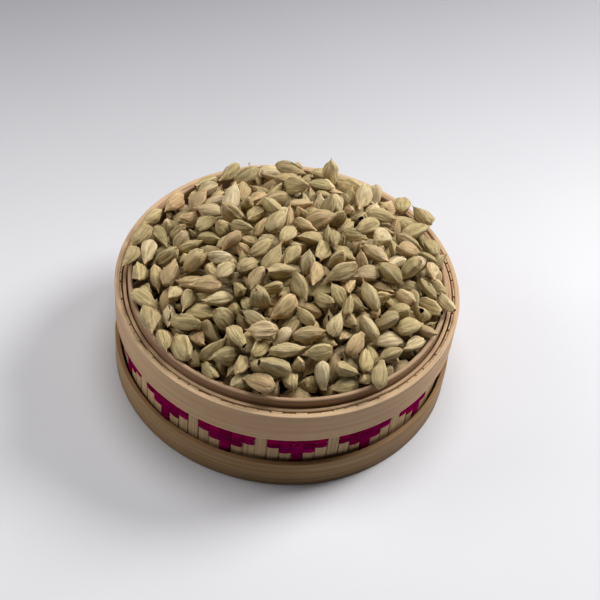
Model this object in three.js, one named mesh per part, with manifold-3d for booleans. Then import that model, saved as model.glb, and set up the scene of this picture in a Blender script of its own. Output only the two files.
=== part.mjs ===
// A dish of green cardamom pods: a small round box of split bamboo, heaped with dried pods.
// Units are millimetres, +Z is up, and the origin is the middle of the dish where it stands.
// Two bamboo hoops grip a woven wall from outside, and a thin collar lines it and stands above
// the rim. The pods are one heap: a plain core, with every pod that shows fused onto it.

import * as THREE from 'three';
import { mergeVertices } from 'three/addons/utils/BufferGeometryUtils.js';
import Module from 'manifold-3d';

const wasm = await Module();
wasm.setup();

// ---------------------------------------------------------------- driving dimensions

const CLEARANCE = 0.3;            // between pieces that touch

const RIM_RADIUS = 76;            // outside of the upper hoop
const RIM_HEIGHT = 46.7;          // top of the upper hoop
const UPPER_HOOP_HEIGHT = 16;     // each hoop is one band of bamboo this tall
const LOWER_HOOP_HEIGHT = 14.6;
const HOOP_THICKNESS = 2.2;
const HOOP_EDGE = 0.5;            // the worn outer edges
const LOWER_HOOP_FLARE = 0.5;     // the lower hoop is a little larger than the upper one
const HOOP_SIDES = 48;

const WALL_THICKNESS = 2.2;
const WALL_START = 0.8;           // the wall's lower edge, above the table
const STRIPS = 90;                // upright strips round the wall
const FIGURES = 15;               // dyed figures round the wall
const FIGURE_STEPS = [            // strips crossed by the dyed weavers, downwards from the hoop
  { strips: 5, height: 9.3 },
  { strips: 3, height: 3.1 },
  { strips: 1, height: 6.2 },
];
const FIGURE_TURN = 5.8;          // degrees
const WEAVER_RELIEF = 0.45;       // how far the dyed weavers stand out of the wall

const COLLAR_TOP = 50.6;
const COLLAR_RADIUS = 70.3;       // outside of the collar
const COLLAR_THICKNESS = 1.9;
const COLLAR_EDGE = 0.6;

const BASE_START = 1.5;
const BASE_THICKNESS = 2.4;

const HEAP_EDGE = 50;             // height of the heap's skin at the collar
const HEAP_RISE = 17;             // from there up to its crown
const HEAP_LEAN = 0.05;           // slope of the whole skin, which is higher on one side
const HEAP_LEAN_TURN = 15;        // degrees from +X, the side that is higher
const CORE_DEPTH = 2.2;           // the core lies this far under the middles of the pods that show
const CORE_REACH = 6;             // pods about this near set its height
const CORE_SIDES = 30;
const CORE_RINGS = 5;

const POD_LENGTH = [9.5, 17];     // shortest and longest
const POD_GIRTH = [0.46, 0.6];    // width as a share of the length
const POD_SIDES = 5;
const POD_CORNERS = 1.15;         // a five-sided pod this much wider has a round one's volume
const POD_SHOULDER = 0.88;        // radius at both shoulders, as a share of the widest
const TAIL_SHOULDER = 0.4;        // from the middle, as shares of half the length
const TIP_SHOULDER = 0.34;

const PILE_DEPTH = 14;            // loose pods lie down to this depth under the skin
const POD_LAYERS = [              // depth of each layer's middle, and its number of pods
  { depth: 12, count: 175 },
  { depth: 6, count: 200 },
  { depth: 0, count: 180 },
];
const EDGE_ROOM = 4;              // no pod starts with its middle nearer to the collar
const SCATTER = 3;                // how far a pod starts from its even place
const STEEPEST = 1.4;             // radians
const STANDING_POD = {            // a long one that stands on its tail
  turn: 74,
  reach: 62,
  rise: 24,
  heading: 149,
  tilt: 1.25,
  length: [16, 17],
};
const RIM_PODS = [152, 163, 174, 185, 10, 24, 38, 53];  // degrees round, on top of the collar
const RIM_POD_INSET = 1;
const RIM_POD_RISE = 6;
const RIM_POD_SWING = [1.0, 2.1];  // radians from straight out, so nearly along the collar
const RIM_POD_TILT = [-0.2, 0.2];  // radians
const EDGE_PODS = [96, 108, 120, 132, 144, 157, 169, 181, 193, 205, 217, 229, 241];  // inside it
const EDGE_POD_INSET = 5;
const EDGE_POD_RISE = 2;
const EDGE_POD_SWING = [0.9, 2.2];
const EDGE_POD_TILT = [-0.3, 0.3];

const SETTLING_STEPS = 240;
const PRESS = 0.1;                // how far the pods are pressed down in one step
const PRESS_INWARD = 0.4;         // share of the dome's slope by which they are pressed inward
const EASING = 0.4;               // share of an overlap that one step takes away
const BEADS = [                   // place along the pod, from tail 0 to tip 1, and share of its radius
  [0.14, 0.55],
  [0.31, 0.88],
  [0.5, 1],
  [0.69, 0.86],
  [0.86, 0.5],
];
const MIDDLE_BEAD = 2;
const END_BEADS = [[0, 0.1], [1, 0.1]];

const SHOWING_GAP = 5.9;          // seen from above, a pod's middle this near under another's is hidden
const HOLD = 2;                   // volume by which a pod has to reach into those that hold it
const BED_STEP = 0.4;
const DEEPEST_BED = 3;

const BAMBOO = { color: 0xc9ac82, roughness: 0.6 };
const OLD_BAMBOO = { color: 0xb3936a, roughness: 0.7 };
const POD_HUSK = { color: 0x948a55, roughness: 0.8 };

const MERGE_DISTANCE = 1e-4;
const TINY = 1e-9;                // keeps a direction between two equal points from dividing by zero

// ---------------------------------------------------------------- seeded random draws

const SEED = 20;
const RANDOM_FACTOR = 1664525;
const RANDOM_STEP = 1013904223;
const RANDOM_RANGE = 2 ** 32;

let randomState = SEED;

function random(low, high) {
  randomState = (Math.imul(randomState, RANDOM_FACTOR) + RANDOM_STEP) >>> 0;
  return low + (high - low) * (randomState / RANDOM_RANGE);
}

// ---------------------------------------------------------------- solids

// The closed solid of a geometry, its shared corners merged and its empty triangles left out.
function toSolid(geometry) {
  const bare = geometry.clone();
  bare.deleteAttribute('normal');
  bare.deleteAttribute('uv');
  const merged = mergeVertices(bare, MERGE_DISTANCE);
  const corners = merged.index.array;
  const triangles = [];
  for (let i = 0; i < corners.length; i += 3) {
    const [a, b, c] = [corners[i], corners[i + 1], corners[i + 2]];
    if (a !== b && b !== c && c !== a) triangles.push(a, b, c);
  }
  return new wasm.Manifold(new wasm.Mesh({
    numProp: 3,
    vertProperties: new Float32Array(merged.attributes.position.array),
    triVerts: new Uint32Array(triangles),
  }));
}

function toGeometry(solid) {
  const mesh = solid.getMesh();
  const geometry = new THREE.BufferGeometry();
  geometry.setAttribute('position', new THREE.BufferAttribute(mesh.vertProperties, 3));
  geometry.setIndex(new THREE.BufferAttribute(mesh.triVerts, 1));
  geometry.computeVertexNormals();
  return geometry;
}

function union(solids) {
  return solids.reduce((whole, solid) => whole.add(solid));
}

// A solid of revolution round +Z from (radius, height) pairs, its first corner turned by `turn`.
function turned(profile, sides, turn = 0) {
  const points = profile.map(([radius, height]) => new THREE.Vector2(radius, height));
  const geometry = new THREE.LatheGeometry(points, sides);
  geometry.rotateX(Math.PI / 2);
  geometry.rotateZ(THREE.MathUtils.degToRad(turn));
  return geometry;
}

function namedMesh(name, geometry, finish) {
  const material = new THREE.MeshStandardMaterial({ ...finish, metalness: 0 });
  const mesh = new THREE.Mesh(geometry, material);
  mesh.name = name;
  return mesh;
}

// ---------------------------------------------------------------- bamboo box

// One band of split bamboo bent to a ring, with worn outer edges.
function hoop(outerRadius, start, height) {
  const inner = outerRadius - HOOP_THICKNESS;
  const top = start + height;
  return turned([
    [inner, start],
    [outerRadius - HOOP_EDGE, start],
    [outerRadius, start + HOOP_EDGE],
    [outerRadius, top - HOOP_EDGE],
    [outerRadius - HOOP_EDGE, top],
    [inner, top],
    [inner, start],
  ], HOOP_SIDES);
}

const wallRadius = RIM_RADIUS - HOOP_THICKNESS - CLEARANCE - WEAVER_RELIEF;
const figureTop = RIM_HEIGHT - UPPER_HOOP_HEIGHT;
const lowerRadius = RIM_RADIUS + LOWER_HOOP_FLARE;

// Dyed weavers where they float over `strips` upright strips, bent along the wall's flat strips.
function weaverFloat(firstStrip, strips, top, height) {
  const sunk = wallRadius - WEAVER_RELIEF;
  const raised = wallRadius + WEAVER_RELIEF;
  const stripTurn = 2 * Math.PI / STRIPS;
  const corner = (radius, strip) => new THREE.Vector2(
    radius * Math.cos(strip * stripTurn), radius * Math.sin(strip * stripTurn));
  const corners = [];
  for (let i = 0; i <= strips; i += 1) corners.push(corner(raised, firstStrip + i));
  for (let i = strips; i >= 0; i -= 1) corners.push(corner(sunk, firstStrip + i));
  const outline = new THREE.Shape(corners);
  const plate = new THREE.ExtrudeGeometry(outline, { depth: height, bevelEnabled: false });
  plate.translate(0, 0, top - height);
  return plate;
}

// The woven wall: flat upright strips side by side, crossed under the upper hoop by weavers
// that show as stepped figures, widest at the top.
function wovenWall() {
  const inner = wallRadius - WALL_THICKNESS;
  const top = RIM_HEIGHT - CLEARANCE;
  const strips = turned([
    [inner, WALL_START],
    [wallRadius, WALL_START],
    [wallRadius, top],
    [inner, top],
    [inner, WALL_START],
  ], STRIPS);
  const pieces = [toSolid(strips)];
  const spacing = STRIPS / FIGURES;
  for (let figure = 0; figure < FIGURES; figure += 1) {
    let stepTop = figureTop;
    for (const { strips: width, height } of FIGURE_STEPS) {
      const first = figure * spacing + (FIGURE_STEPS[0].strips - width) / 2;
      pieces.push(toSolid(weaverFloat(first, width, stepTop, height)));
      stepTop -= height;
    }
  }
  const geometry = toGeometry(union(pieces));
  geometry.rotateZ(THREE.MathUtils.degToRad(FIGURE_TURN));
  return geometry;
}

const baseTop = BASE_START + BASE_THICKNESS;

function innerCollar() {
  const inner = COLLAR_RADIUS - COLLAR_THICKNESS;
  return turned([
    [inner, baseTop + CLEARANCE],
    [COLLAR_RADIUS, baseTop + CLEARANCE],
    [COLLAR_RADIUS, COLLAR_TOP - COLLAR_EDGE],
    [COLLAR_RADIUS - COLLAR_EDGE, COLLAR_TOP],
    [inner + COLLAR_EDGE, COLLAR_TOP],
    [inner, COLLAR_TOP - COLLAR_EDGE],
    [inner, baseTop + CLEARANCE],
  ], HOOP_SIDES);
}

// The floor that closes the box inside the wall, under the collar.
function baseMat() {
  const radius = wallRadius - WALL_THICKNESS - CLEARANCE;
  return turned([[0, BASE_START], [radius, BASE_START], [radius, baseTop], [0, baseTop]], HOOP_SIDES);
}

// ---------------------------------------------------------------- heap

const heapRadius = COLLAR_RADIUS - COLLAR_THICKNESS;
const leanTurn = THREE.MathUtils.degToRad(HEAP_LEAN_TURN);
const leanX = HEAP_LEAN * Math.cos(leanTurn);
const leanY = HEAP_LEAN * Math.sin(leanTurn);

// Height of the heap's skin: a low dome whose whole surface leans a little.
function skinHeight(x, y) {
  const reach = (x * x + y * y) / (heapRadius * heapRadius);
  return HEAP_EDGE + HEAP_RISE * (1 - reach) + leanX * x + leanY * y;
}

// A pod lies on a straight line from its tail to its tip. This one has a size of its own, and
// its tip points towards `heading`, up by `tilt`.
function makePod([x, y, z], heading, tilt, range = POD_LENGTH) {
  const length = 0.5 * (random(...range) + random(...range));
  const radius = 0.5 * length * random(...POD_GIRTH);
  const half = 0.5 * length;
  const reachX = half * Math.cos(tilt) * Math.cos(heading);
  const reachY = half * Math.cos(tilt) * Math.sin(heading);
  const reachZ = half * Math.sin(tilt);
  return {
    tail: [x - reachX, y - reachY, z - reachZ],
    tip: [x + reachX, y + reachY, z + reachZ],
    length,
    radius,
    roll: random(0, 2 * Math.PI),
  };
}

function onRing(degrees, reach, height) {
  const turn = THREE.MathUtils.degToRad(degrees);
  return [reach * Math.cos(turn), reach * Math.sin(turn), height];
}

// Scatters the pods in layers, sunflower-wise, stands one up, and lays a few across the collar
// and a few along it.
function scatteredPods() {
  const pods = [];
  const goldenTurn = Math.PI * (3 - Math.sqrt(5));
  for (const { depth, count } of POD_LAYERS) {
    for (let i = 0; i < count; i += 1) {
      const reach = (heapRadius - EDGE_ROOM) * Math.sqrt((i + 0.5) / count);
      const x = reach * Math.cos(i * goldenTurn) + random(-SCATTER, SCATTER);
      const y = reach * Math.sin(i * goldenTurn) + random(-SCATTER, SCATTER);
      const z = skinHeight(x, y) - depth + random(-SCATTER, SCATTER);
      const heading = random(0, 2 * Math.PI);
      const lift = random(-1, 1);
      pods.push(makePod([x, y, z], heading, STEEPEST * lift * Math.abs(lift)));
    }
  }
  const { turn, reach, rise, heading: lean, tilt: steep, length: range } = STANDING_POD;
  const standing = onRing(turn, reach, COLLAR_TOP + rise);
  pods.push(makePod(standing, THREE.MathUtils.degToRad(lean), steep, range));
  for (const degrees of RIM_PODS) {
    const middle = onRing(degrees, heapRadius - RIM_POD_INSET, COLLAR_TOP + RIM_POD_RISE);
    const heading = THREE.MathUtils.degToRad(degrees) + random(...RIM_POD_SWING);
    pods.push(makePod(middle, heading, random(...RIM_POD_TILT)));
  }
  for (const degrees of EDGE_PODS) {
    const middle = onRing(degrees, heapRadius - EDGE_POD_INSET, COLLAR_TOP + EDGE_POD_RISE);
    const heading = THREE.MathUtils.degToRad(degrees) + random(...EDGE_POD_SWING);
    pods.push(makePod(middle, heading, random(...EDGE_POD_TILT)));
  }
  return pods;
}

function pointAlong(pod, share) {
  return pod.tail.map((start, k) => start + share * (pod.tip[k] - start));
}

function middleOf(pod) {
  return pointAlong(pod, 0.5);
}

// Moves the two ends of a pod so that the point at `share` goes `amount` along `direction`.
function push(move, share, direction, amount) {
  const spread = (1 - share) * (1 - share) + share * share;
  for (let k = 0; k < 3; k += 1) {
    const step = EASING * amount * direction[k] / spread;
    move.tail[k] += step * (1 - share);
    move.tip[k] += step * share;
  }
}

// A pod keeps clear of the others by round beads along its line. This is the push that takes
// a bead out of the collar and the rim, or null where it is clear of them.
function outOfDish([x, y, z], radius) {
  const reach = Math.sqrt(x * x + y * y);
  const outX = x / reach;
  const outY = y / reach;
  if (z < COLLAR_TOP && reach < COLLAR_RADIUS) {
    const amount = reach + radius + CLEARANCE - heapRadius;
    return amount > 0 ? { direction: [-outX, -outY, 0], amount } : null;
  }
  if (z < COLLAR_TOP) {
    const amount = RIM_HEIGHT + radius + CLEARANCE - z;
    return amount > 0 ? { direction: [0, 0, 1], amount } : null;
  }
  const nearest = Math.min(Math.max(reach, heapRadius), COLLAR_RADIUS);
  const away = reach - nearest;
  const rise = z - COLLAR_TOP;
  const distance = Math.sqrt(away * away + rise * rise) + TINY;
  const amount = radius + CLEARANCE - distance;
  if (amount <= 0) return null;
  return { direction: [outX * away / distance, outY * away / distance, rise / distance], amount };
}

// The push that keeps two beads apart, or null where they don't touch.
function apart(a, b, gap) {
  const between = [b[0] - a[0], b[1] - a[1], b[2] - a[2]];
  const square = between[0] ** 2 + between[1] ** 2 + between[2] ** 2;
  if (square >= gap * gap) return null;
  const distance = Math.sqrt(square) + TINY;
  return { direction: between.map((c) => c / distance), amount: gap - distance };
}

// Presses the pods onto each other, and moves apart those that overlap, until they lie still.
function settle(pods) {
  const inward = PRESS * PRESS_INWARD * 2 * HEAP_RISE / heapRadius ** 2;
  for (let step = 0; step < SETTLING_STEPS; step += 1) {
    const moves = pods.map(() => ({ tail: [0, 0, 0], tip: [0, 0, 0] }));
    const beads = pods.map((pod) => BEADS.map(([share]) => pointAlong(pod, share)));
    for (let i = 0; i < pods.length; i += 1) {
      for (let j = i + 1; j < pods.length; j += 1) {
        const near = 0.5 * (pods[i].length + pods[j].length);
        if (!apart(beads[i][MIDDLE_BEAD], beads[j][MIDDLE_BEAD], near)) continue;
        BEADS.forEach(([shareI, girthI], m) => {
          BEADS.forEach(([shareJ, girthJ], n) => {
            const gap = girthI * pods[i].radius + girthJ * pods[j].radius;
            const contact = apart(beads[i][m], beads[j][n], gap);
            if (!contact) return;
            push(moves[i], shareI, contact.direction, -0.5 * contact.amount);
            push(moves[j], shareJ, contact.direction, 0.5 * contact.amount);
          });
        });
      }
    }
    pods.forEach((pod, i) => {
      for (const [share, girth] of [...BEADS, ...END_BEADS]) {
        const bead = pointAlong(pod, share);
        const wall = outOfDish(bead, girth * pod.radius);
        if (wall) push(moves[i], share, wall.direction, wall.amount);
        const sunk = skinHeight(bead[0], bead[1]) - PILE_DEPTH + girth * pod.radius - bead[2];
        if (sunk > 0) push(moves[i], share, [0, 0, 1], sunk);
      }
      const [x, y] = middleOf(pod);
      const press = [-inward * x, -inward * y, -PRESS];
      for (let k = 0; k < 3; k += 1) {
        pod.tail[k] += moves[i].tail[k] + press[k];
        pod.tip[k] += moves[i].tip[k] + press[k];
      }
      const axis = pod.tip.map((c, k) => c - pod.tail[k]);
      const stretched = Math.sqrt(axis[0] ** 2 + axis[1] ** 2 + axis[2] ** 2);
      const excess = 0.5 * (stretched - pod.length) / stretched;
      for (let k = 0; k < 3; k += 1) {
        pod.tail[k] += excess * axis[k];
        pod.tip[k] -= excess * axis[k];
      }
    });
  }
  return pods;
}

// A pod with few sides: a bud-shaped spindle with as much flesh as a round one.
function podGeometry(pod) {
  const half = 0.5 * pod.length;
  const radius = POD_CORNERS * pod.radius;
  const profile = [
    [0, -half],
    [POD_SHOULDER * radius, -TAIL_SHOULDER * half],
    [POD_SHOULDER * radius, TIP_SHOULDER * half],
    [0, half],
  ];
  const geometry = turned(profile, POD_SIDES, THREE.MathUtils.radToDeg(pod.roll));
  const axis = new THREE.Vector3(...pod.tip).sub(new THREE.Vector3(...pod.tail)).normalize();
  const turn = new THREE.Quaternion().setFromUnitVectors(new THREE.Vector3(0, 0, 1), axis);
  geometry.applyQuaternion(turn);
  geometry.translate(...middleOf(pod));
  return geometry;
}

// The collar and the rim, with the clearance round them.
function dishRoom() {
  const inner = heapRadius - CLEARANCE;
  const outer = RIM_RADIUS + HOOP_THICKNESS;
  const rimTop = RIM_HEIGHT + CLEARANCE;
  const collarTop = COLLAR_TOP + CLEARANCE;
  return toSolid(turned([
    [inner, 0],
    [outer, 0],
    [outer, rimTop],
    [COLLAR_RADIUS + CLEARANCE, rimTop],
    [COLLAR_RADIUS + CLEARANCE, collarTop],
    [inner, collarTop],
    [inner, 0],
  ], HOOP_SIDES));
}

// Sinks a pod's solid, a little at a time, until it is held by the heap, or gives it up.
function bedded(geometry, heap) {
  for (let sunk = 0; sunk <= DEEPEST_BED; sunk += BED_STEP) {
    const solid = toSolid(geometry);
    if (heap.intersect(solid).volume() > HOLD) return solid;
    geometry.translate(0, 0, -BED_STEP);
  }
  return null;
}

// How deep a pod's middle lies under the skin.
function depthOf(pod) {
  const [x, y, z] = middleOf(pod);
  return skinHeight(x, y) - z;
}

// The pods that show, those nearest the skin first: no pod nearer to it lies straight over them.
function showingPods(pods) {
  const fromTop = [...pods].sort((a, b) => depthOf(a) - depthOf(b));
  const showing = [];
  for (const pod of fromTop) {
    const [x, y] = middleOf(pod);
    const over = (other) => Math.hypot(middleOf(other)[0] - x, middleOf(other)[1] - y);
    if (showing.every((other) => over(other) > SHOWING_GAP)) showing.push(pod);
  }
  return showing;
}

// Height of the bare core, which follows the pods that show near a point.
function coreHeight(x, y, showing) {
  let total = 0;
  let weights = 0;
  for (const pod of showing) {
    const [podX, podY, podZ] = middleOf(pod);
    const weight = 1 / ((podX - x) ** 2 + (podY - y) ** 2 + CORE_REACH ** 2) ** 2;
    total += weight * podZ;
    weights += weight;
  }
  return total / weights - CORE_DEPTH;
}

// The bare core: the filled box up to a bumpy dome just under the pods that show.
function heapCore(showing) {
  const radius = heapRadius - 2 * CLEARANCE;
  const bottom = baseTop + CLEARANCE;
  const profile = [[0, bottom], [radius, bottom]];
  for (let ring = 0; ring <= CORE_RINGS; ring += 1) {
    profile.push([radius * (1 - ring / CORE_RINGS), HEAP_EDGE]);
  }
  const geometry = turned(profile, CORE_SIDES);
  const place = geometry.attributes.position;
  for (let i = 0; i < place.count; i += 1) {
    const onTop = place.getZ(i) > 0.5 * HEAP_EDGE;
    if (onTop) place.setZ(i, coreHeight(place.getX(i), place.getY(i), showing));
  }
  return toSolid(geometry);
}

// The core with every pod that shows, from the lowest up, so that each is held by those below.
// A pod that would cross the dish is shortened.
function cardamomHeap() {
  const showing = showingPods(settle(scatteredPods())).reverse();
  let heap = heapCore(showing);
  for (const pod of showing) {
    const solid = bedded(podGeometry(pod), heap);
    if (solid) heap = heap.add(solid);
  }
  const pieces = heap.subtract(dishRoom()).decompose();
  pieces.sort((a, b) => b.volume() - a.volume());
  return toGeometry(pieces[0]);
}

// ---------------------------------------------------------------- the part

const dish = new THREE.Group();
dish.add(namedMesh('upper_hoop', hoop(RIM_RADIUS, figureTop, UPPER_HOOP_HEIGHT), BAMBOO));
dish.add(namedMesh('lower_hoop', hoop(lowerRadius, 0, LOWER_HOOP_HEIGHT), BAMBOO));
dish.add(namedMesh('woven_wall', wovenWall(), OLD_BAMBOO));
dish.add(namedMesh('inner_collar', innerCollar(), BAMBOO));
dish.add(namedMesh('base_mat', baseMat(), OLD_BAMBOO));
dish.add(namedMesh('cardamom_heap', cardamomHeap(), POD_HUSK));

export default dish;
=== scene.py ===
# %% [markdown]
# # A dish of green cardamom pods
#
# A small round box of split bamboo stands on a pale table, heaped with dried green cardamom
# pods. Two bamboo hoops grip a woven wall, a thin collar lines it and stands a little above the
# rim, and the pods fill it to a low dome.
#
# The solids of the dish and its heap come first, as the frame. Everything here is made to fit
# them, in metres, with +Z up and the origin under the middle of the dish.

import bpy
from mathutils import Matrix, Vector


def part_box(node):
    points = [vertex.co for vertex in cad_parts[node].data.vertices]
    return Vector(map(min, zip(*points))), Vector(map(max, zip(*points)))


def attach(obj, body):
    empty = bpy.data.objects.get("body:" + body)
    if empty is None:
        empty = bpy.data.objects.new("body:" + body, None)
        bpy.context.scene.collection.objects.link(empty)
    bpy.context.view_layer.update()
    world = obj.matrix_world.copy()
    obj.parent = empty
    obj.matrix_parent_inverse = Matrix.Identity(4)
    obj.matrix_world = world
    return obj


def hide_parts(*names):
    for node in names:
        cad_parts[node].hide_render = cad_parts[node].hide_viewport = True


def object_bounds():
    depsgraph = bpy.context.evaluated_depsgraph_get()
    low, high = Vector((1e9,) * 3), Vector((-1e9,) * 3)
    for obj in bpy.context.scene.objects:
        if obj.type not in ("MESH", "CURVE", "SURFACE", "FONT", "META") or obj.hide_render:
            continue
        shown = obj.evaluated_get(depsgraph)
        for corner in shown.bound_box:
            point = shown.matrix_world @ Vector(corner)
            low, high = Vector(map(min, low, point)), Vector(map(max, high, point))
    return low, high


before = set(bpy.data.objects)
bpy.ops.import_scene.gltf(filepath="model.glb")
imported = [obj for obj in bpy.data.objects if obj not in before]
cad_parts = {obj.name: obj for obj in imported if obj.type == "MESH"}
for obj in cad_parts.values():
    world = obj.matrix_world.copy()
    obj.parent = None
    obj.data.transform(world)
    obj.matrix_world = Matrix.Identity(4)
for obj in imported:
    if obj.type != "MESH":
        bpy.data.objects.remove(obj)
cad_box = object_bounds()
print("the solids reach from", cad_box[0], "to", cad_box[1])

# %% Tools and units
import math

import bmesh
import bpy
import numpy as np
from mathutils import Matrix, Vector

MM = 0.001

# %% [markdown]
# ## The camera
#
# The photograph looks down on the dish from the front, a little under 50 degrees, with a long
# lens and the camera tipped slightly to one side. A camera is easiest to place by the point it
# looks at: from there it goes back along its line of sight, and then it is turned about it.

# %% The camera
FRAME_PIXELS = 600
SENSOR_WIDTH = 36.0
FOCAL_PIXELS = 1264.3
AIM_POINT = Vector((6.04, 17.12, 15.75)) * MM
CAMERA_DISTANCE = 590.5 * MM
CAMERA_ELEVATION = math.radians(47.4)
CAMERA_ROLL = math.radians(6.96)


def add_camera():
    camera = bpy.data.objects.new("camera", bpy.data.cameras.new("camera"))
    bpy.context.scene.collection.objects.link(camera)
    camera.data.sensor_width = SENSOR_WIDTH
    camera.data.lens = FOCAL_PIXELS * SENSOR_WIDTH / FRAME_PIXELS
    camera.data.clip_start = 0.01
    tilt = Matrix.Rotation(math.pi / 2 - CAMERA_ELEVATION, 4, "X")
    roll = Matrix.Rotation(CAMERA_ROLL, 4, "Z")
    backwards = Matrix.Translation((0, 0, CAMERA_DISTANCE))
    camera.matrix_world = Matrix.Translation(AIM_POINT) @ tilt @ backwards @ roll
    bpy.context.scene.camera = camera
    return camera


camera = add_camera()
print("camera at", [round(c, 3) for c in camera.matrix_world.translation])

# %% [markdown]
# ## Working as by hand
#
# Most pieces start as one of Blender's primitives and are then shaped in edit mode. These
# helpers do what a hand does between the steps: let go of everything, pick the points, edges or
# faces to work on by where they are, and apply a modifier once it is set. A number stored at each
# point is how a piece tells its finish what differs from place to place.

# %% Helpers for modelling
def let_go():
    if bpy.context.mode != "OBJECT":
        bpy.ops.object.mode_set(mode="OBJECT")
    bpy.ops.object.select_all(action="DESELECT")


def take(piece):
    let_go()
    piece.select_set(True)
    bpy.context.view_layer.objects.active = piece
    return piece


def pick(piece, kind, test):
    """In edit mode, selects the verts, edges or faces that pass a test, and nothing else."""
    bpy.ops.mesh.select_mode(type=kind)
    bpy.ops.mesh.select_all(action="DESELECT")
    mesh = bmesh.from_edit_mesh(piece.data)
    parts = {"VERT": mesh.verts, "EDGE": mesh.edges, "FACE": mesh.faces}[kind]
    for part in parts:
        part.select_set(test(part))
    mesh.select_flush_mode()
    bmesh.update_edit_mesh(piece.data)


def apply_modifier(piece, kind, **settings):
    modifier = piece.modifiers.new(kind.lower(), kind)
    for name, value in settings.items():
        setattr(modifier, name, value)
    bpy.context.view_layer.objects.active = piece
    bpy.ops.object.modifier_apply(modifier=modifier.name)


def apply_place(piece):
    take(piece)
    bpy.ops.object.transform_apply(location=True, rotation=True, scale=True)


def clouds(name, size):
    """A cloudy texture for pushing a surface about, with lumps of about that size."""
    texture = bpy.data.textures.new(name, "CLOUDS")
    texture.noise_scale = size
    return texture


def store(piece, name, values, kind="FLOAT"):
    """Gives every point of a piece a number or a vector, the same or its own, for its finish."""
    field, size = {"FLOAT": ("value", 1), "FLOAT_VECTOR": ("vector", 3)}[kind]
    rows = np.reshape(values, (-1, size))
    numbers = np.broadcast_to(rows, (len(piece.data.vertices), size)).astype(np.float32)
    piece.data.attributes.new(name, kind, "POINT").data.foreach_set(field, numbers.ravel())


def join(pieces, name):
    let_go()
    for piece in pieces:
        piece.select_set(True)
    bpy.context.view_layer.objects.active = pieces[0]
    bpy.ops.object.join()
    whole = bpy.context.object
    whole.name = name
    whole.data.name = name
    apply_place(whole)
    return whole


def triangles(piece):
    return sum(len(face.vertices) - 2 for face in piece.data.polygons)


def finish_piece(piece, material, slot, *nodes):
    """Dresses a piece, lets it ride on the dish and hides the solids that it stands for."""
    piece.data.materials.clear()
    piece.data.materials.append(material)
    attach(piece, "root")
    if nodes:
        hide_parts(*nodes)
    print(f"{piece.name}: {triangles(piece)} triangles")


# %% [markdown]
# ## Building materials from nodes
#
# Each finish is a small network of nodes ending in one Principled shader. The helper adds a
# node and plugs in its inputs: a socket is linked, and anything else is set as its value.

# %% Helpers for materials
class Finish:
    """A material under construction."""

    def __init__(self, name):
        self.material = bpy.data.materials.new(name)
        self.material.use_nodes = True
        self.tree = self.material.node_tree
        self.shader = self.tree.nodes["Principled BSDF"]

    def plug(self, node, inputs):
        for name, value in inputs.items():
            socket = node.inputs[name]
            if isinstance(value, bpy.types.NodeSocket):
                self.tree.links.new(value, socket)
            else:
                socket.default_value = value
        return node

    def add(self, kind, inputs, **settings):
        node = self.tree.nodes.new("ShaderNode" + kind)
        for name, value in settings.items():
            setattr(node, name, value)
        return self.plug(node, inputs)

    def object_place(self):
        return self.add("TexCoord", {}).outputs["Object"]

    def attribute(self, name):
        return self.add("Attribute", {}, attribute_name=name)

    def maths(self, operation, first, second=0.0):
        return self.add("Math", {0: first, 1: second}, operation=operation).outputs[0]

    def scaled(self, vector, scale):
        return self.add("VectorMath", {0: vector, 1: scale}, operation="MULTIPLY").outputs[0]

    def noise(self, vector, scale, detail=2.0, w=None, roughness=0.5):
        inputs = {"Vector": vector, "Scale": scale, "Detail": detail, "Roughness": roughness}
        if w is not None:
            inputs["W"] = w
        node = self.add("TexNoise", inputs, noise_dimensions="3D" if w is None else "4D")
        return node.outputs[0]

    def spread(self, value, low, high, start=0.0, end=1.0):
        """Stretches low..high to start..end, and holds it there."""
        inputs = {"Value": value, "From Min": low, "From Max": high, "To Min": start, "To Max": end}
        return self.add("MapRange", inputs).outputs[0]

    def mix(self, share, first, second, blend="MIX"):
        node = self.add("Mix", {}, data_type="RGBA", blend_type=blend)
        self.plug(node, {0: share, 6: first, 7: second})
        return node.outputs[2]

    def bump(self, height, distance, strength=1.0):
        inputs = {"Height": height, "Distance": distance, "Strength": strength}
        return self.add("Bump", inputs).outputs[0]

    def done(self, **inputs):
        names = {name.replace("_", " "): value for name, value in inputs.items()}
        self.plug(self.shader, names)
        return self.material


def srgb(red, green, blue):
    """A colour as seen on a screen, 0 to 255, turned into the light it stands for."""
    shares = [c / 255 for c in (red, green, blue)]
    light = [c / 12.92 if c <= 0.04045 else ((c + 0.055) / 1.055) ** 2.4 for c in shares]
    return (*light, 1.0)


# %% [markdown]
# ## Table and light
#
# The dish stands on a plain pale table in a small studio. Large soft lamps light it: a strong one
# from behind on the right, a weaker one from the left, and a third from above. So the pods are
# bright on top, and the front of the dish gets little more than the light that the table
# throws back. The table's colour is painted greyer towards the back, and a little more so on the
# left, as painted shade.

# %% Table and light
FLOOR_SIZE = 4.0
FLOOR_DROP = 0.05 * MM
# where the painted shade on the table starts and ends, and how much nearer a place on the right counts
SHADE_NEAR_END, SHADE_FAR_END = 0.02, 0.36
SHADE_TURN = 0.3
ROOM_BRIGHTNESS = 0.05
LAMP_DISTANCE = 1.1
LAMPS = [
    {"name": "key_lamp", "turn": 34, "height": 40, "size": 0.45, "power": 11.5},
    {"name": "fill_lamp", "turn": 180, "height": 30, "size": 0.7, "power": 4.8},
    {"name": "top_lamp", "turn": 90, "height": 80, "size": 0.6, "power": 6.0},
]


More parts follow.
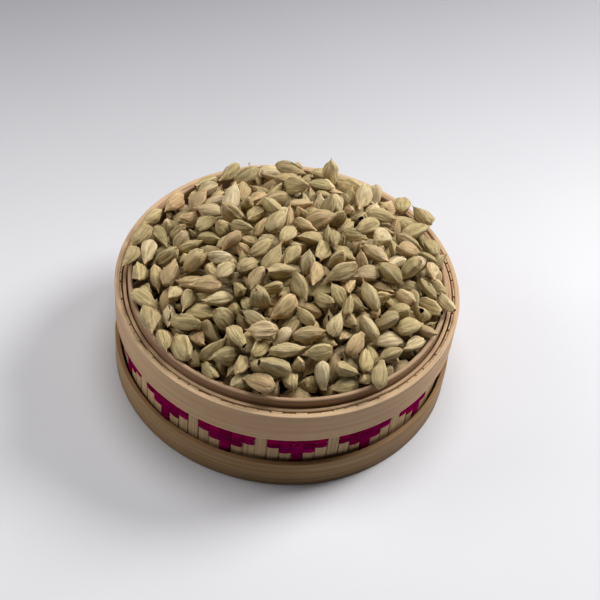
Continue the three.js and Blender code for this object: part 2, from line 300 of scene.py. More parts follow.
def add_floor():
    let_go()
    bpy.ops.mesh.primitive_plane_add(size=FLOOR_SIZE, location=(0, 0, -FLOOR_DROP))
    floor = bpy.context.object
    floor.name = "floor"
    paper = Finish("pale_table")
    x, y, _ = paper.add("SeparateXYZ", {0: paper.object_place()}).outputs
    tone = paper.spread(paper.noise(paper.object_place(), 6.0), 0.3, 0.7)
    colour = paper.mix(tone, srgb(212, 211, 214), srgb(217, 217, 220))
    # painted shade: the table's colour turns grey towards the back, and a little more on the left
    backward = paper.maths("SUBTRACT", y, paper.maths("MULTIPLY", x, SHADE_TURN))
    back = paper.spread(backward, SHADE_NEAR_END, SHADE_FAR_END)
    colour = paper.mix(back, colour, srgb(128, 128, 133))
    floor.data.materials.append(paper.done(Base_Color=colour, Roughness=0.8))


def add_lamp(name, turn, height, size, power):
    lamp = bpy.data.objects.new(name, bpy.data.lights.new(name, "AREA"))
    bpy.context.scene.collection.objects.link(lamp)
    lamp.data.shape = "DISK"
    lamp.data.size = size
    lamp.data.energy = power
    turn, height = math.radians(turn), math.radians(height)
    towards = Vector((math.cos(turn) * math.cos(height), math.sin(turn) * math.cos(height),
                      math.sin(height)))
    lamp.location = LAMP_DISTANCE * towards
    lamp.rotation_euler = towards.to_track_quat("Z", "Y").to_euler()


def add_room():
    world = bpy.data.worlds.new("studio")
    world.use_nodes = True
    background = world.node_tree.nodes["Background"]
    background.inputs["Color"].default_value = (0.95, 0.97, 1.0, 1.0)
    background.inputs["Strength"].default_value = ROOM_BRIGHTNESS
    bpy.context.scene.world = world


add_floor()
add_room()
for lamp in LAMPS:
    add_lamp(**lamp)
bpy.context.scene.view_settings.view_transform = "Standard"

# %% [markdown]
# ## Bamboo
#
# Split bamboo is straight-grained: fine pale fibres with darker lines between them, running the
# length of the strip. On the hoops and the collar they run round the dish, on the wall's
# strips they stand upright. Noise that is stretched a long way in one direction makes such
# fibres. Round the dish that direction turns, so the noise changes slowly in X and Y, and fast
# in height and in distance from the middle, which needs a fourth dimension. The top edge of a
# band is painted a colour of its own, as painted light for how bright its lit top shows, and the
# foot's band is painted darker near the table, as painted shade.

# %% Bamboo finishes
def fibres_round(finish, slow, fast, detail=3.0):
    """Noise in lines that run round the dish."""
    place = finish.object_place()
    flat = finish.scaled(place, (1, 1, 0))
    reach = finish.add("VectorMath", {0: flat}, operation="LENGTH").outputs["Value"]
    stretched = finish.scaled(place, (slow, slow, fast))
    return finish.noise(stretched, 1.0, detail, w=finish.maths("MULTIPLY", reach, fast))


def fibres_upright(finish, slow, fast, detail=3.0):
    """Noise in lines that stand upright."""
    stretched = finish.scaled(finish.object_place(), (fast, fast, slow))
    return finish.noise(stretched, 1.0, detail)


# painted shade: the colour that a band darkens to near the table
FOOT_SHADE_COLOUR = srgb(92, 68, 42)
CRACK_COLOUR = (0.02, 0.012, 0.006, 1)
# how far below the top edge the painted light starts, and where it is full
LIT_TOP_FADE = (0.8 * MM, 0.25 * MM)


def bamboo(name, fibres, pale, dark, stain, tone_attribute=None, edge=None, shade_below=None, shine=0.25):
    """`edge` is the height above which a band's top edge is painted another colour, as painted light
    for how bright its lit top shows, and that colour. The height after it, when given, is the one
    below which a band is painted darker, as painted shade near the table."""
    finish = Finish(name)
    fine = fibres(finish, 18, 2600)
    broad = fibres(finish, 9, 700)
    colour = finish.mix(finish.spread(fine, 0.36, 0.66), dark, pale)
    colour = finish.mix(finish.spread(broad, 0.42, 0.7, 0.0, 0.6), colour, stain)
    cloudy = finish.noise(finish.object_place(), 45, 3)
    colour = finish.mix(finish.spread(cloudy, 0.4, 0.75, 0.0, 0.4), colour, stain)
    height = finish.add("SeparateXYZ", {0: finish.object_place()}).outputs[2]
    if edge:
        # painted light: the top edge takes a colour of its own, for how bright the lit top shows
        top, lit_top_colour = edge
        share = finish.spread(height, top - LIT_TOP_FADE[0], top - LIT_TOP_FADE[1], 0.0, 0.85)
        colour = finish.mix(share, colour, finish.mix(fine, pale, lit_top_colour))
    if shade_below:
        # painted shade: the band darkens towards the table
        share = finish.spread(height, shade_below, 0.0, 0.0, 0.45)
        colour = finish.mix(share, colour, FOOT_SHADE_COLOUR)
    if tone_attribute:
        tone = finish.attribute(tone_attribute).outputs["Fac"]
        colour = finish.add("HueSaturation", {"Color": colour, "Value": tone}).outputs[0]
    crack = finish.spread(fibres(finish, 22, 3600, 1.0), 0.27, 0.34)
    colour = finish.mix(crack, finish.mix(0.55, colour, CRACK_COLOUR), colour)
    relief = finish.maths("ADD", fine, finish.maths("MULTIPLY", crack, 0.7))
    return finish.done(
        Base_Color=colour,
        Roughness=finish.spread(fine, 0.3, 0.7, 0.7, 0.55),
        Specular_IOR_Level=shine,
        Normal=finish.bump(relief, 0.12 * MM, 0.6),
    )


# painted light: the colour of each band's top edge, for how bright its lit top shows. The heights
# are those of the rim and of the collar's top
HOOP_LIT_TOP = (46.7 * MM, srgb(184, 156, 126))
COLLAR_LIT_TOP = (50.6 * MM, srgb(158, 132, 106))

hoop_finish = bamboo("hoop_bamboo", fibres_round, srgb(204, 172, 134), srgb(182, 148, 110),
                     srgb(182, 143, 108), edge=HOOP_LIT_TOP)
# partly painted shade: the foot's band is more olive than the rim, its own tone, and painted darker,
# for the shade round the foot
foot_finish = bamboo("foot_bamboo", fibres_round, srgb(176, 143, 102), srgb(146, 115, 76),
                     srgb(136, 104, 68), shade_below=8 * MM)
collar_finish = bamboo("collar_bamboo", fibres_round, srgb(188, 154, 120), srgb(148, 116, 86),
                       srgb(140, 106, 78), edge=COLLAR_LIT_TOP)
strip_finish = bamboo("strip_bamboo", fibres_upright, srgb(210, 180, 138), srgb(176, 145, 106),
                      srgb(184, 148, 112), "tone_and_painted_light")
ply_finish = bamboo("ply_bamboo", fibres_round, srgb(206, 174, 136), srgb(160, 128, 94),
                    srgb(178, 142, 108))
print("bamboo finishes made")

# %% [markdown]
# ## Hoops and collar
#
# Each hoop is one band of bamboo, about 2 mm thick, bent to a ring, and the collar is a thinner
# band inside the wall. A band can be turned on a lathe or cut from a tube. Here it starts as an
# open tube, which is cut into a few rings of faces so that it can be uneven, gets its thickness
# from Solidify and its worn edges from Bevel, and is then pushed about a little by a cloudy
# texture, as no hand-bent band is a true circle.

# %% Hoops and collar
BAND_SIDES = 192
BAND_CUTS = 6
HOOP_THICKNESS = 2.2 * MM
HOOP_EDGE = 0.45 * MM
COLLAR_THICKNESS = 1.9 * MM
COLLAR_EDGE = 0.7 * MM
SHARP = math.radians(50)
UNEVENNESS = 0.22 * MM


def band(name, node, thickness, edge):
    low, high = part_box(node)
    height = high.z - low.z - UNEVENNESS
    let_go()
    bpy.ops.mesh.primitive_cylinder_add(
        vertices=BAND_SIDES, radius=high.x - UNEVENNESS / 2, depth=height,
        end_fill_type="NOTHING", location=(0, 0, low.z + UNEVENNESS / 2 + height / 2))
    piece = bpy.context.object
    piece.name = name
    apply_place(piece)
    bpy.ops.object.mode_set(mode="EDIT")
    for cut in range(1, BAND_CUTS):
        bpy.ops.mesh.select_all(action="SELECT")
        level = low.z + (high.z - low.z) * cut / BAND_CUTS
        bpy.ops.mesh.bisect(plane_co=(0, 0, level), plane_no=(0, 0, 1))
    let_go()
    apply_modifier(piece, "SOLIDIFY", thickness=thickness, offset=-1)
    apply_modifier(piece, "BEVEL", width=edge, segments=3, limit_method="ANGLE", angle_limit=SHARP)
    apply_modifier(piece, "DISPLACE", texture=clouds(name, 0.02), strength=UNEVENNESS)
    take(piece)
    bpy.ops.object.shade_smooth()
    return piece


finish_piece(band("rim_hoop", "upper_hoop", HOOP_THICKNESS, HOOP_EDGE), hoop_finish,
             "hoop_bamboo", "upper_hoop")
finish_piece(band("foot_hoop", "lower_hoop", HOOP_THICKNESS, HOOP_EDGE), foot_finish,
             "hoop_bamboo", "lower_hoop")
finish_piece(band("collar_band", "inner_collar", COLLAR_THICKNESS, COLLAR_EDGE), collar_finish,
             "collar_bamboo", "inner_collar")

# %% [markdown]
# ## The woven wall
#
# The wall is a mat of thin flat strips with a plain ply of bamboo behind it. The upright strips
# lie side by side. Under the rim hoop they are crossed by dyed weavers: the first three show over
# five strips, the next over three and the last two over one, so that the dyed places form steps.
# Between two of these figures one upright strip stays uncovered.
#
# An upright strip is a flat grid, crowned along its middle. Its upper end leans out until it
# meets the rim hoop. A few such strips are modelled, of slightly different widths and heights,
# and copied round, and each copy is turned and toned a little in its own way.

# %% Sizes of the weave
STRIPS = 90
FIGURES = 15
FIGURE_ROWS = [5, 5, 5, 3, 1, 1]
FIGURE_TURN = math.radians(5.8)
ROW_HEIGHT = 3.1 * MM
STRIP_ANGLE = 2 * math.pi / STRIPS
WEAVER_RELIEF = 0.45 * MM
STRIP_THICKNESS = 0.65 * MM
STRIP_GAP = 0.22 * MM
STRIP_CROWN = 0.08 * MM
STRIP_LEAN = 0.58 * MM
LEAN_START = 1 * MM
STRIP_STEPS = 24
STRIP_MODELS = 7
STRIP_UNEVEN_TOP = 0.7
STRIP_UNEVEN_TURN = 0.0012
WALL_CLEARANCE = 0.3 * MM
ROUND_SHADING = math.radians(40)

hoop_low, hoop_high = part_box("upper_hoop")
wall_low, wall_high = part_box("woven_wall")
strip_radius = hoop_high.x - HOOP_THICKNESS - WALL_CLEARANCE - WEAVER_RELIEF
strip_width = strip_radius * STRIP_ANGLE - STRIP_GAP
figure_top = hoop_low.z
tone_draws = np.random.default_rng(5)


# %% Upright strips
def flat_strip(height, width, rows, columns, middle):
    """A flat grid that stands upright and faces +X."""
    let_go()
    bpy.ops.mesh.primitive_grid_add(
        x_subdivisions=rows, y_subdivisions=columns, size=1, location=middle,
        rotation=(0, math.pi / 2, 0))
    strip = bpy.context.object
    strip.scale = (height, width, 1)
    apply_place(strip)
    return strip


def upright_strip(width, top):
    """An upright strip that faces +X."""
    middle = (strip_radius - STRIP_CROWN, 0, (top + wall_low.z) / 2)
    strip = flat_strip(top - wall_low.z, width, STRIP_STEPS, 4, middle)
    bpy.ops.object.mode_set(mode="EDIT")
    pick(strip, "VERT", lambda v: abs(v.co.y) < 0.3 * width)
    bpy.ops.transform.translate(value=(STRIP_CROWN, 0, 0))
    pick(strip, "VERT", lambda v: v.co.z > hoop_low.z + LEAN_START)
    bpy.ops.transform.translate(value=(STRIP_LEAN, 0, 0))
    let_go()
    apply_modifier(strip, "SOLIDIFY", thickness=STRIP_THICKNESS, offset=-1)
    take(strip)
    bpy.ops.object.shade_smooth_by_angle(angle=ROUND_SHADING)
    return strip


def copies_round(models, count):
    """Copies of the models in turn, evenly round the dish, each with its own mesh."""
    copies = []
    for index in range(count):
        model = models[index % len(models)]
        copy = model.copy()
        copy.data = model.data.copy()
        bpy.context.scene.collection.objects.link(copy)
        turn = FIGURE_TURN + (index + 0.5) * 2 * math.pi / count
        copy.matrix_world = Matrix.Rotation(turn, 4, "Z")
        copies.append(copy)
    for model in models:
        bpy.data.objects.remove(model)
    return copies


strip_models = []
for _ in range(STRIP_MODELS):
    width = strip_width * tone_draws.uniform(0.9, 1.0)
    top = wall_high.z - tone_draws.uniform(0, STRIP_UNEVEN_TOP) * MM
    strip_models.append(upright_strip(width, top))
strips = copies_round(strip_models, STRIPS)
for strip in strips:
    store(strip, "tone_and_painted_light", tone_draws.uniform(0.84, 1.08))
    own_turn = tone_draws.normal(0, STRIP_UNEVEN_TURN)
    strip.matrix_world = strip.matrix_world @ Matrix.Rotation(own_turn, 4, "Z")
finish_piece(join(strips, "wall_strips"), strip_finish, "woven_bamboo", "woven_wall")

# %% [markdown]
# The dyed weavers are thin strips that lie across the upright ones. Each sinks between two strips
# and dives behind the next one at both ends. It is a flat grid, bent round the wall. Every stretch
# between two dips is painted its own brightness, as painted sheen, and the dips are painted dark,
# as painted shade. Nor is the lower edge of the weavers straight, so it is lifted a little on each
# stretch.

# %% Dyed weavers
WEAVER_STEPS = 10
WEAVER_THICKNESS = 0.4 * MM
WEAVER_DIP = 0.2 * MM
WEAVER_TUCK = 0.35 * MM
DIP_SHADE = 0.6
LOWER_EDGE_RISE = 0.35 * MM
ROW_GAP = 0.08 * MM
WEAVER_SINK = 0.05 * MM
WEAVER_ROUNDING = 0.12 * MM
FIGURE_RISE = 0.1 * MM


def dyed_weaver(width, top):
    """A weaver that shows over `width` strips, in the middle of a figure that faces +X."""
    length = width * STRIP_ANGLE * strip_radius
    weaver = flat_strip(ROW_HEIGHT - ROW_GAP, length, 4, width * WEAVER_STEPS,
                        (0, 0, top - ROW_HEIGHT / 2))
    surface = strip_radius + WEAVER_RELIEF - WEAVER_SINK
    strip_length = strip_radius * STRIP_ANGLE
    for vertex in weaver.data.vertices:
        along = (vertex.co.y + length / 2) / strip_length
        dip = WEAVER_DIP * abs(math.cos(math.pi * along)) ** 3
        end = min(along, width - along) * strip_length
        tuck = WEAVER_TUCK * max(0.0, 1 - end / WEAVER_TUCK) ** 2
        edge = abs(vertex.co.z - top + ROW_HEIGHT / 2) / (ROW_HEIGHT / 2)
        radius = surface - dip - tuck - WEAVER_ROUNDING * edge ** 4
        angle = vertex.co.y / strip_radius
        vertex.co.x = radius * math.cos(angle)
        vertex.co.y = radius * math.sin(angle)
    apply_modifier(weaver, "SOLIDIFY", thickness=WEAVER_THICKNESS, offset=-1)
    take(weaver)
    bpy.ops.object.shade_smooth_by_angle(angle=ROUND_SHADING)
    return weaver


def vary_stretches(weaver, width):
    """Gives each stretch of a weaver that faces +X its own painted sheen and its own lower edge, and
    paints shade into the dips between them."""
    sheens = [tone_draws.uniform(0.7, 1.3) for _ in range(width)]
    rises = [tone_draws.uniform(0, LOWER_EDGE_RISE) for _ in range(width)]
    lowest = min(vertex.co.z for vertex in weaver.data.vertices)
    values = []
    for vertex in weaver.data.vertices:
        # counted in strips from the weaver's end
        along = math.atan2(vertex.co.y, vertex.co.x) / STRIP_ANGLE + width / 2
        stretch = min(max(int(along), 0), width - 1)
        dip = abs(along - round(along)) < 0.4 / WEAVER_STEPS
        # painted sheen on each stretch, and painted shade in the dips
        values.append(sheens[stretch] * (DIP_SHADE if dip else 1))
        if vertex.co.z < lowest + 0.2 * ROW_HEIGHT:
            vertex.co.z += rises[stretch]
    store(weaver, "tone_and_painted_light", values)


weavers = []
half_strip_back = Matrix.Rotation(-STRIP_ANGLE / 2, 4, "Z")
for row, width in enumerate(FIGURE_ROWS):
    model = dyed_weaver(width, figure_top + FIGURE_RISE - row * ROW_HEIGHT)
    for weaver in copies_round([model], FIGURES):
        vary_stretches(weaver, width)
        weaver.matrix_world = half_strip_back @ weaver.matrix_world
        weavers.append(weaver)
dye_finish = bamboo("dyed_bamboo", fibres_round, srgb(158, 2, 72), srgb(118, 0, 48),
                    srgb(110, 6, 78), "tone_and_painted_light", shine=0.0)
finish_piece(join(weavers, "dyed_weavers"), dye_finish, "dyed_bamboo", "woven_wall")

# %% [markdown]
# Behind the strips a plain ply of bamboo closes the wall. It is the same kind of band as the
# hoops, and its cut top edge shows between the strips and the collar.

# %% The ply behind the strips
PLY_EDGE = 0.2 * MM
PLY_INNER = 70.85 * MM
PLY_SHORTER = 0.4 * MM
ply_outer = strip_radius - STRIP_CROWN - STRIP_THICKNESS


def wall_ply():
    let_go()
    height = wall_high.z - wall_low.z - PLY_SHORTER
    bpy.ops.mesh.primitive_cylinder_add(
        vertices=BAND_SIDES, radius=ply_outer, depth=height, end_fill_type="NOTHING",
        location=(0, 0, (wall_high.z + wall_low.z) / 2))
    ply = bpy.context.object
    ply.name = "wall_ply"
    apply_place(ply)
    apply_modifier(ply, "SOLIDIFY", thickness=ply_outer - PLY_INNER, offset=-1)
    apply_modifier(ply, "BEVEL", width=PLY_EDGE, segments=2, limit_method="ANGLE", angle_limit=SHARP)
    take(ply)
    bpy.ops.object.shade_smooth_by_angle(angle=ROUND_SHADING)
    return ply


finish_piece(wall_ply(), ply_finish, "woven_bamboo", "woven_wall")

# %% [markdown]
# ## The base mat
#
# The floor of the box is a plain woven mat that only shows from below. Its solid has the right
# shape, so it stays and only gets a finish: two sets of fibres at right angles, changed over in
# a checkered way, as strips that go over and under each other.

# %% The base mat
MAT_STRIP = 5 * MM
mat = Finish("base_bamboo")
mat_place = mat.object_place()
checks = mat.add("TexChecker", {"Vector": mat_place, "Scale": 1 / MAT_STRIP}).outputs["Fac"]
along_x = mat.noise(mat.scaled(mat_place, (40, 2200, 40)), 1.0, 3)
along_y = mat.noise(mat.scaled(mat_place, (2200, 40, 40)), 1.0, 3)
lines = mat.add("Mix", {0: checks, 2: along_x, 3: along_y}).outputs[0]
mat_colour = mat.mix(mat.spread(lines, 0.35, 0.65), srgb(150, 126, 92), srgb(190, 166, 126))
mat_bump = mat.bump(mat.maths("ADD", lines, mat.maths("MULTIPLY", checks, 0.5)), 0.2 * MM)
mat_finish = mat.done(Base_Color=mat_colour, Roughness=0.65, Normal=mat_bump)
mat_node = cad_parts["base_mat"]
mat_node.data.materials.clear()
mat_node.data.materials.append(mat_finish)

# %% [markdown]
# ## How the pods lie
#
# A heap of pods can be dropped by a physics simulation, or placed by hand. Here each pod is a
# straight line from its tail to its tip with a few round beads along it. The pods start in
# layers under a low dome, turned every way, and are pressed down and pushed apart until they
# lie on each other and clear of the dish. It is quick, it gives the same heap every time, and
# it is the very rule by which the pods of the solid heap were laid. The few that slide over the
# collar would roll off the rim, so they are taken away.

# %% Sizes of the heap, in millimetres
CLEARANCE = 0.3
RIM_HEIGHT = 46.7
COLLAR_TOP = 50.6
COLLAR_RADIUS = 70.3
HEAP_RADIUS = COLLAR_RADIUS - 1.9
HEAP_EDGE = 50.0
HEAP_RISE = 17.0
HEAP_LEAN = 0.05
HEAP_LEAN_TURN = math.radians(15)
LEAN_X = HEAP_LEAN * math.cos(HEAP_LEAN_TURN)
LEAN_Y = HEAP_LEAN * math.sin(HEAP_LEAN_TURN)

POD_LENGTH = (9.5, 17.0)
POD_GIRTH = (0.46, 0.6)
PILE_DEPTH = 14.0
POD_LAYERS = [(12, 175), (6, 200), (0, 180)]
EDGE_ROOM = 4.0
SCATTER = 3.0
STEEPEST = 1.4
# one pod stands at the back of the heap, and two rows of pods lie along its edge, one on the
# collar and one inside it: their turns in degrees, and how far in and up they start
STANDING_POD = {"heading": math.radians(149), "tilt": 1.25, "lengths": (16, 17)}
STANDING_POD_TURN = math.radians(74)
STANDING_POD_REACH = 62
STANDING_POD_RISE = 24
RIM_POD_INSET, RIM_POD_RISE = 1, 6
EDGE_POD_INSET, EDGE_POD_RISE = 5, 2
RIM_POD_TURNS = [152, 163, 174, 185, 10, 24, 38, 53]
EDGE_POD_TURNS = [96, 108, 120, 132, 144, 157, 169, 181, 193, 205, 217, 229, 241]

SETTLING_STEPS = 240
# how far a pod is pressed down at each step, the share of the dome's slope by which it is also
# pressed inwards, and the share of an overlap that one step takes away
PRESS = 0.1
PRESS_INWARD = 0.4
EASING = 0.4
# how far outside the collar a pod's middle may lie before the pod rolls off the rim
RIM_HOLD = 1.5
# the beads of a pod, from its tail at 0 to its tip at 1: five along its body, one at each end
BEAD_PLACES = np.array([0.14, 0.31, 0.5, 0.69, 0.86, 0.0, 1.0])
BEAD_GIRTHS = np.array([0.55, 0.88, 1.0, 0.86, 0.5, 0.1, 0.1])
BODY_BEADS = 5


# %% Scattering the pods
class Draws:
    """Random numbers from one seed, by the simplest rule there is."""

    def __init__(self, seed):
        self.state = seed

    def between(self, low, high):
        self.state = (self.state * 1664525 + 1013904223) % 2 ** 32
        return low + (high - low) * self.state / 2 ** 32


def skin_height(x, y):
    """Height of the heap's skin: a low dome whose whole surface leans a little."""
    reach = (x * x + y * y) / HEAP_RADIUS ** 2
    return HEAP_EDGE + HEAP_RISE * (1 - reach) + LEAN_X * x + LEAN_Y * y


def draw_pod(draws, middle, heading, tilt, lengths=POD_LENGTH):
    """(tail, tip, length, radius, roll) of a pod of its own size."""
    length = 0.5 * (draws.between(*lengths) + draws.between(*lengths))
    radius = 0.5 * length * draws.between(*POD_GIRTH)
    axis = np.array([math.cos(tilt) * math.cos(heading), math.cos(tilt) * math.sin(heading),
                     math.sin(tilt)])
    middle = np.array(middle)
    roll = draws.between(0, 2 * math.pi)
    return middle - 0.5 * length * axis, middle + 0.5 * length * axis, length, radius, roll


def on_ring(turn, reach, height):
    return reach * math.cos(turn), reach * math.sin(turn), height


def scatter_pods(draws):
    pods = []
    golden_turn = math.pi * (3 - math.sqrt(5))
    for depth, count in POD_LAYERS:
        for i in range(count):
            reach = (HEAP_RADIUS - EDGE_ROOM) * math.sqrt((i + 0.5) / count)
            x = reach * math.cos(i * golden_turn) + draws.between(-SCATTER, SCATTER)
            y = reach * math.sin(i * golden_turn) + draws.between(-SCATTER, SCATTER)
            z = skin_height(x, y) - depth + draws.between(-SCATTER, SCATTER)
            heading = draws.between(0, 2 * math.pi)
            lift = draws.between(-1, 1)
            pods.append(draw_pod(draws, (x, y, z), heading, STEEPEST * lift * abs(lift)))
    middle = on_ring(STANDING_POD_TURN, STANDING_POD_REACH, COLLAR_TOP + STANDING_POD_RISE)
    pods.append(draw_pod(draws, middle, **STANDING_POD))
    for degrees in RIM_POD_TURNS:
        turn = math.radians(degrees)
        heading = turn + draws.between(1.0, 2.1)
        middle = on_ring(turn, HEAP_RADIUS - RIM_POD_INSET, COLLAR_TOP + RIM_POD_RISE)
        pods.append(draw_pod(draws, middle, heading, draws.between(-0.2, 0.2)))
    for degrees in EDGE_POD_TURNS:
        turn = math.radians(degrees)
        middle = on_ring(turn, HEAP_RADIUS - EDGE_POD_INSET, COLLAR_TOP + EDGE_POD_RISE)
        heading = turn + draws.between(0.9, 2.2)
        pods.append(draw_pod(draws, middle, heading, draws.between(-0.3, 0.3)))
    return [np.array(column) for column in zip(*pods)]


# %% Settling the pods
def bead_points(tails, tips, places):
    return tails[:, None] + places[None, :, None] * (tips - tails)[:, None]


def push_apart(beads, radii, first, second, tail_moves, tip_moves):
    """Moves the ends of every two pods whose beads overlap, half of the way each."""
    for m in range(BODY_BEADS):
        for n in range(BODY_BEADS):
            between = beads[second, n] - beads[first, m]
            square = (between ** 2).sum(1)
            gap = BEAD_GIRTHS[m] * radii[first] + BEAD_GIRTHS[n] * radii[second]
            hit = square < gap ** 2
            distance = np.sqrt(square[hit]) + 1e-9
            amount = 0.5 * EASING * (gap[hit] - distance)
            direction = between[hit] / distance[:, None]
            sides = ((first[hit], BEAD_PLACES[m], -1), (second[hit], BEAD_PLACES[n], 1))
            for pods, place, sign in sides:
                step = direction * (sign * amount / ((1 - place) ** 2 + place ** 2))[:, None]
                np.add.at(tail_moves, pods, step * (1 - place))
                np.add.at(tip_moves, pods, step * place)


def out_of_dish(beads, girths):
    """The push that takes each bead out of the collar, off the rim and up from too deep."""
    x, y, z = beads[..., 0], beads[..., 1], beads[..., 2]
    reach = np.hypot(x, y)
    out_x = x / reach
    out_y = y / reach
    low = z < COLLAR_TOP
    inside = np.where(low & (reach < COLLAR_RADIUS), reach + girths + CLEARANCE - HEAP_RADIUS, 0)
    inside = np.maximum(inside, 0)
    over_rim = np.where(low & (reach >= COLLAR_RADIUS), RIM_HEIGHT + girths + CLEARANCE - z, 0)
    over_rim = np.maximum(over_rim, 0)
    away = reach - np.clip(reach, HEAP_RADIUS, COLLAR_RADIUS)
    rise = z - COLLAR_TOP
    distance = np.hypot(away, rise) + 1e-9
    on_collar = np.where(low, 0, np.maximum(girths + CLEARANCE - distance, 0)) / distance
    sideways = on_collar * away - inside
    sunk = np.maximum(skin_height(x, y) - PILE_DEPTH + girths - z, 0)
    return np.stack([sideways * out_x, sideways * out_y, over_rim + on_collar * rise + sunk], -1)


def settle(tails, tips, lengths, radii):
    first, second = np.triu_indices(len(lengths), 1)
    inward = PRESS * PRESS_INWARD * 2 * HEAP_RISE / HEAP_RADIUS ** 2
    shares = (1 - BEAD_PLACES) ** 2 + BEAD_PLACES ** 2
    for _ in range(SETTLING_STEPS):
        tail_moves = np.zeros_like(tails)
        tip_moves = np.zeros_like(tips)
        middles = 0.5 * (tails + tips)
        apart = ((middles[first] - middles[second]) ** 2).sum(1)
        near = apart < (0.5 * (lengths[first] + lengths[second])) ** 2
        beads = bead_points(tails, tips, BEAD_PLACES)
        push_apart(beads, radii, first[near], second[near], tail_moves, tip_moves)
        push = EASING * out_of_dish(beads, BEAD_GIRTHS[None] * radii[:, None])
        tail_moves += (push * ((1 - BEAD_PLACES) / shares)[None, :, None]).sum(1)
        tip_moves += (push * (BEAD_PLACES / shares)[None, :, None]).sum(1)
        press = np.column_stack([inward * middles[:, 0], inward * middles[:, 1],
                                 np.full(len(lengths), PRESS)])
        tails = tails + tail_moves - press
        tips = tips + tip_moves - press
        axes = tips - tails
        stretched = np.linalg.norm(axes, axis=1)
        excess = (0.5 * (stretched - lengths) / stretched)[:, None]
        tails = tails + excess * axes
        tips = tips - excess * axes
    return tails, tips


tails, tips, lengths, radii, rolls = scatter_pods(Draws(20))
tails, tips = settle(tails, tips, lengths, radii)
middles = 0.5 * (tails + tips)
stays = np.hypot(middles[:, 0], middles[:, 1]) < COLLAR_RADIUS + RIM_HOLD
settled = [column[stays] for column in (tails, tips, lengths, radii, rolls)]
highest = max(ends[:, 2].max() for ends in settled[:2])
print(stays.sum(), "pods settled, the highest at", round(highest, 1), "mm")

# %% [markdown]
# ## One pod
#
# A dried pod is a spindle with three soft corners, where its three husks meet, and a few creases
# between them. One end is round, with the scar of the stalk, and the other runs out in a short
# beak. It is grown as a hand would: from a small ring, extruded again and again along its length
# and each time scaled to the pod's girth there, then closed to a point. The corners and creases
# are pulled out and pushed in along the whole length, and bending, twisting and a cloudy texture
# make each model its own.
#
# Some pods have lost their beak and end in a round open mouth, and some have split along a
# corner. Both are modelled too: the mouth by extruding back inwards, the split by bevelling the
# corner's edges and pushing their middle in.

# %% Sizes of a pod model
MODEL_LENGTH = 13.25 * MM
MODEL_RADIUS = 3.5 * MM
POD_SIDES = 24
HUSKS = 3
SPLIT_REACH = 0.3
SPLIT_WIDTH = 0.7 * MM
SPLIT_DEPTH = 2.2 * MM
# (place, girth) along a pod: the place from 0 at its tail to 1 at its tip, the girth as a share
# of the widest
ROUND_TAIL = [(0.0, 0.07), (0.012, 0.15), (0.03, 0.32), (0.07, 0.53)]
STALK_TAIL = [(0.0, 0.1), (0.02, 0.085), (0.045, 0.11), (0.06, 0.3), (0.09, 0.5)]
BODY = [(0.15, 0.74), (0.23, 0.89), (0.33, 0.98), (0.44, 1.0), (0.55, 0.93), (0.65, 0.8), (0.74, 0.63)]
POINTED_END = [(0.81, 0.47), (0.88, 0.3), (0.93, 0.18), (0.97, 0.1), (1.0, 0.05)]
BEAKED_END = [(0.8, 0.44), (0.855, 0.27), (0.9, 0.16), (0.94, 0.105), (0.985, 0.1), (0.994, 0.13),
              (1.0, 0.07)]
MOUTH_END = [(0.82, 0.52), (0.88, 0.43), (0.91, 0.4), (0.905, 0.28), (0.84, 0.24), (0.6, 0.3)]
# lines of each husk, of the eight between two corners, and how far they stand out or lie in
CORNER_PROFILE = {0: 1.15, 1: 0.05, 2: -0.4, 3: -0.35, 4: -0.7, 5: -0.45, 6: -0.5, 7: 0.0}

# the kinds of pod: its share of the heap, how many models, how quickly its girth falls off, how
# much its corners stand out, and how lumpy it is, in millimetres
KINDS = [
    {"name": "plump", "share": 0.28, "models": 5, "tail": ROUND_TAIL, "end": POINTED_END,
     "fullness": 0.9, "corner": 0.13, "lumps": 1.3},
    {"name": "beaked", "share": 0.31, "models": 6, "tail": STALK_TAIL, "end": BEAKED_END,
     "fullness": 1.05, "corner": 0.18, "lumps": 1.5},
    {"name": "ribbed", "share": 0.23, "models": 5, "tail": ROUND_TAIL, "end": BEAKED_END,
     "fullness": 1.15, "corner": 0.26, "lumps": 1.7},
    {"name": "open", "share": 0.07, "models": 2, "tail": STALK_TAIL, "end": MOUTH_END,
     "fullness": 0.95, "corner": 0.18, "lumps": 1.6},
    {"name": "split", "share": 0.11, "models": 3, "tail": ROUND_TAIL, "end": BEAKED_END,
     "fullness": 1.0, "corner": 0.16, "lumps": 1.5},
]
form_draws = Draws(7)


# %% Growing a pod
def grow_rings(stations):
    """Extrudes the selected ring along +Z, station by station, to the girth at each."""
    for (last_place, last_girth), (place, girth) in zip(stations, stations[1:]):
        step = (place - last_place) * MODEL_LENGTH
        bpy.ops.mesh.extrude_region_move(TRANSFORM_OT_translate={"value": (0, 0, step)})
        bpy.ops.transform.resize(value=(girth / last_girth, girth / last_girth, 1))


def on_line(vertex, line):
    """Whether a point is on one lengthwise line of a husk, counted from the husk's corner."""
    turn = math.atan2(vertex.co.y, vertex.co.x) / (2 * math.pi) * POD_SIDES
    return round(turn) % (POD_SIDES // HUSKS) == line


def swell_line(pod, line, share):
    """Moves one lengthwise line of each of the three husks away from the pod's middle."""
    pick(pod, "VERT", lambda v: on_line(v, line))
    bpy.ops.transform.resize(value=(1 + share, 1 + share, 1), center_override=(0, 0, 0))


def split_corner(pod):
    """Opens the corner that faces +X along the middle of the pod."""
    def on_corner(vertex):
        on_seam = vertex.co.x > 0 and abs(vertex.co.y) < 0.05 * MM
        return on_seam and abs(vertex.co.z) < SPLIT_REACH * MODEL_LENGTH

    pick(pod, "EDGE", lambda edge: all(on_corner(vertex) for vertex in edge.verts))
    bpy.ops.mesh.bevel(offset=SPLIT_WIDTH, segments=2, affect="EDGES")
    pick(pod, "VERT", on_corner)
    bpy.ops.transform.translate(value=(-SPLIT_DEPTH, 0, 0))


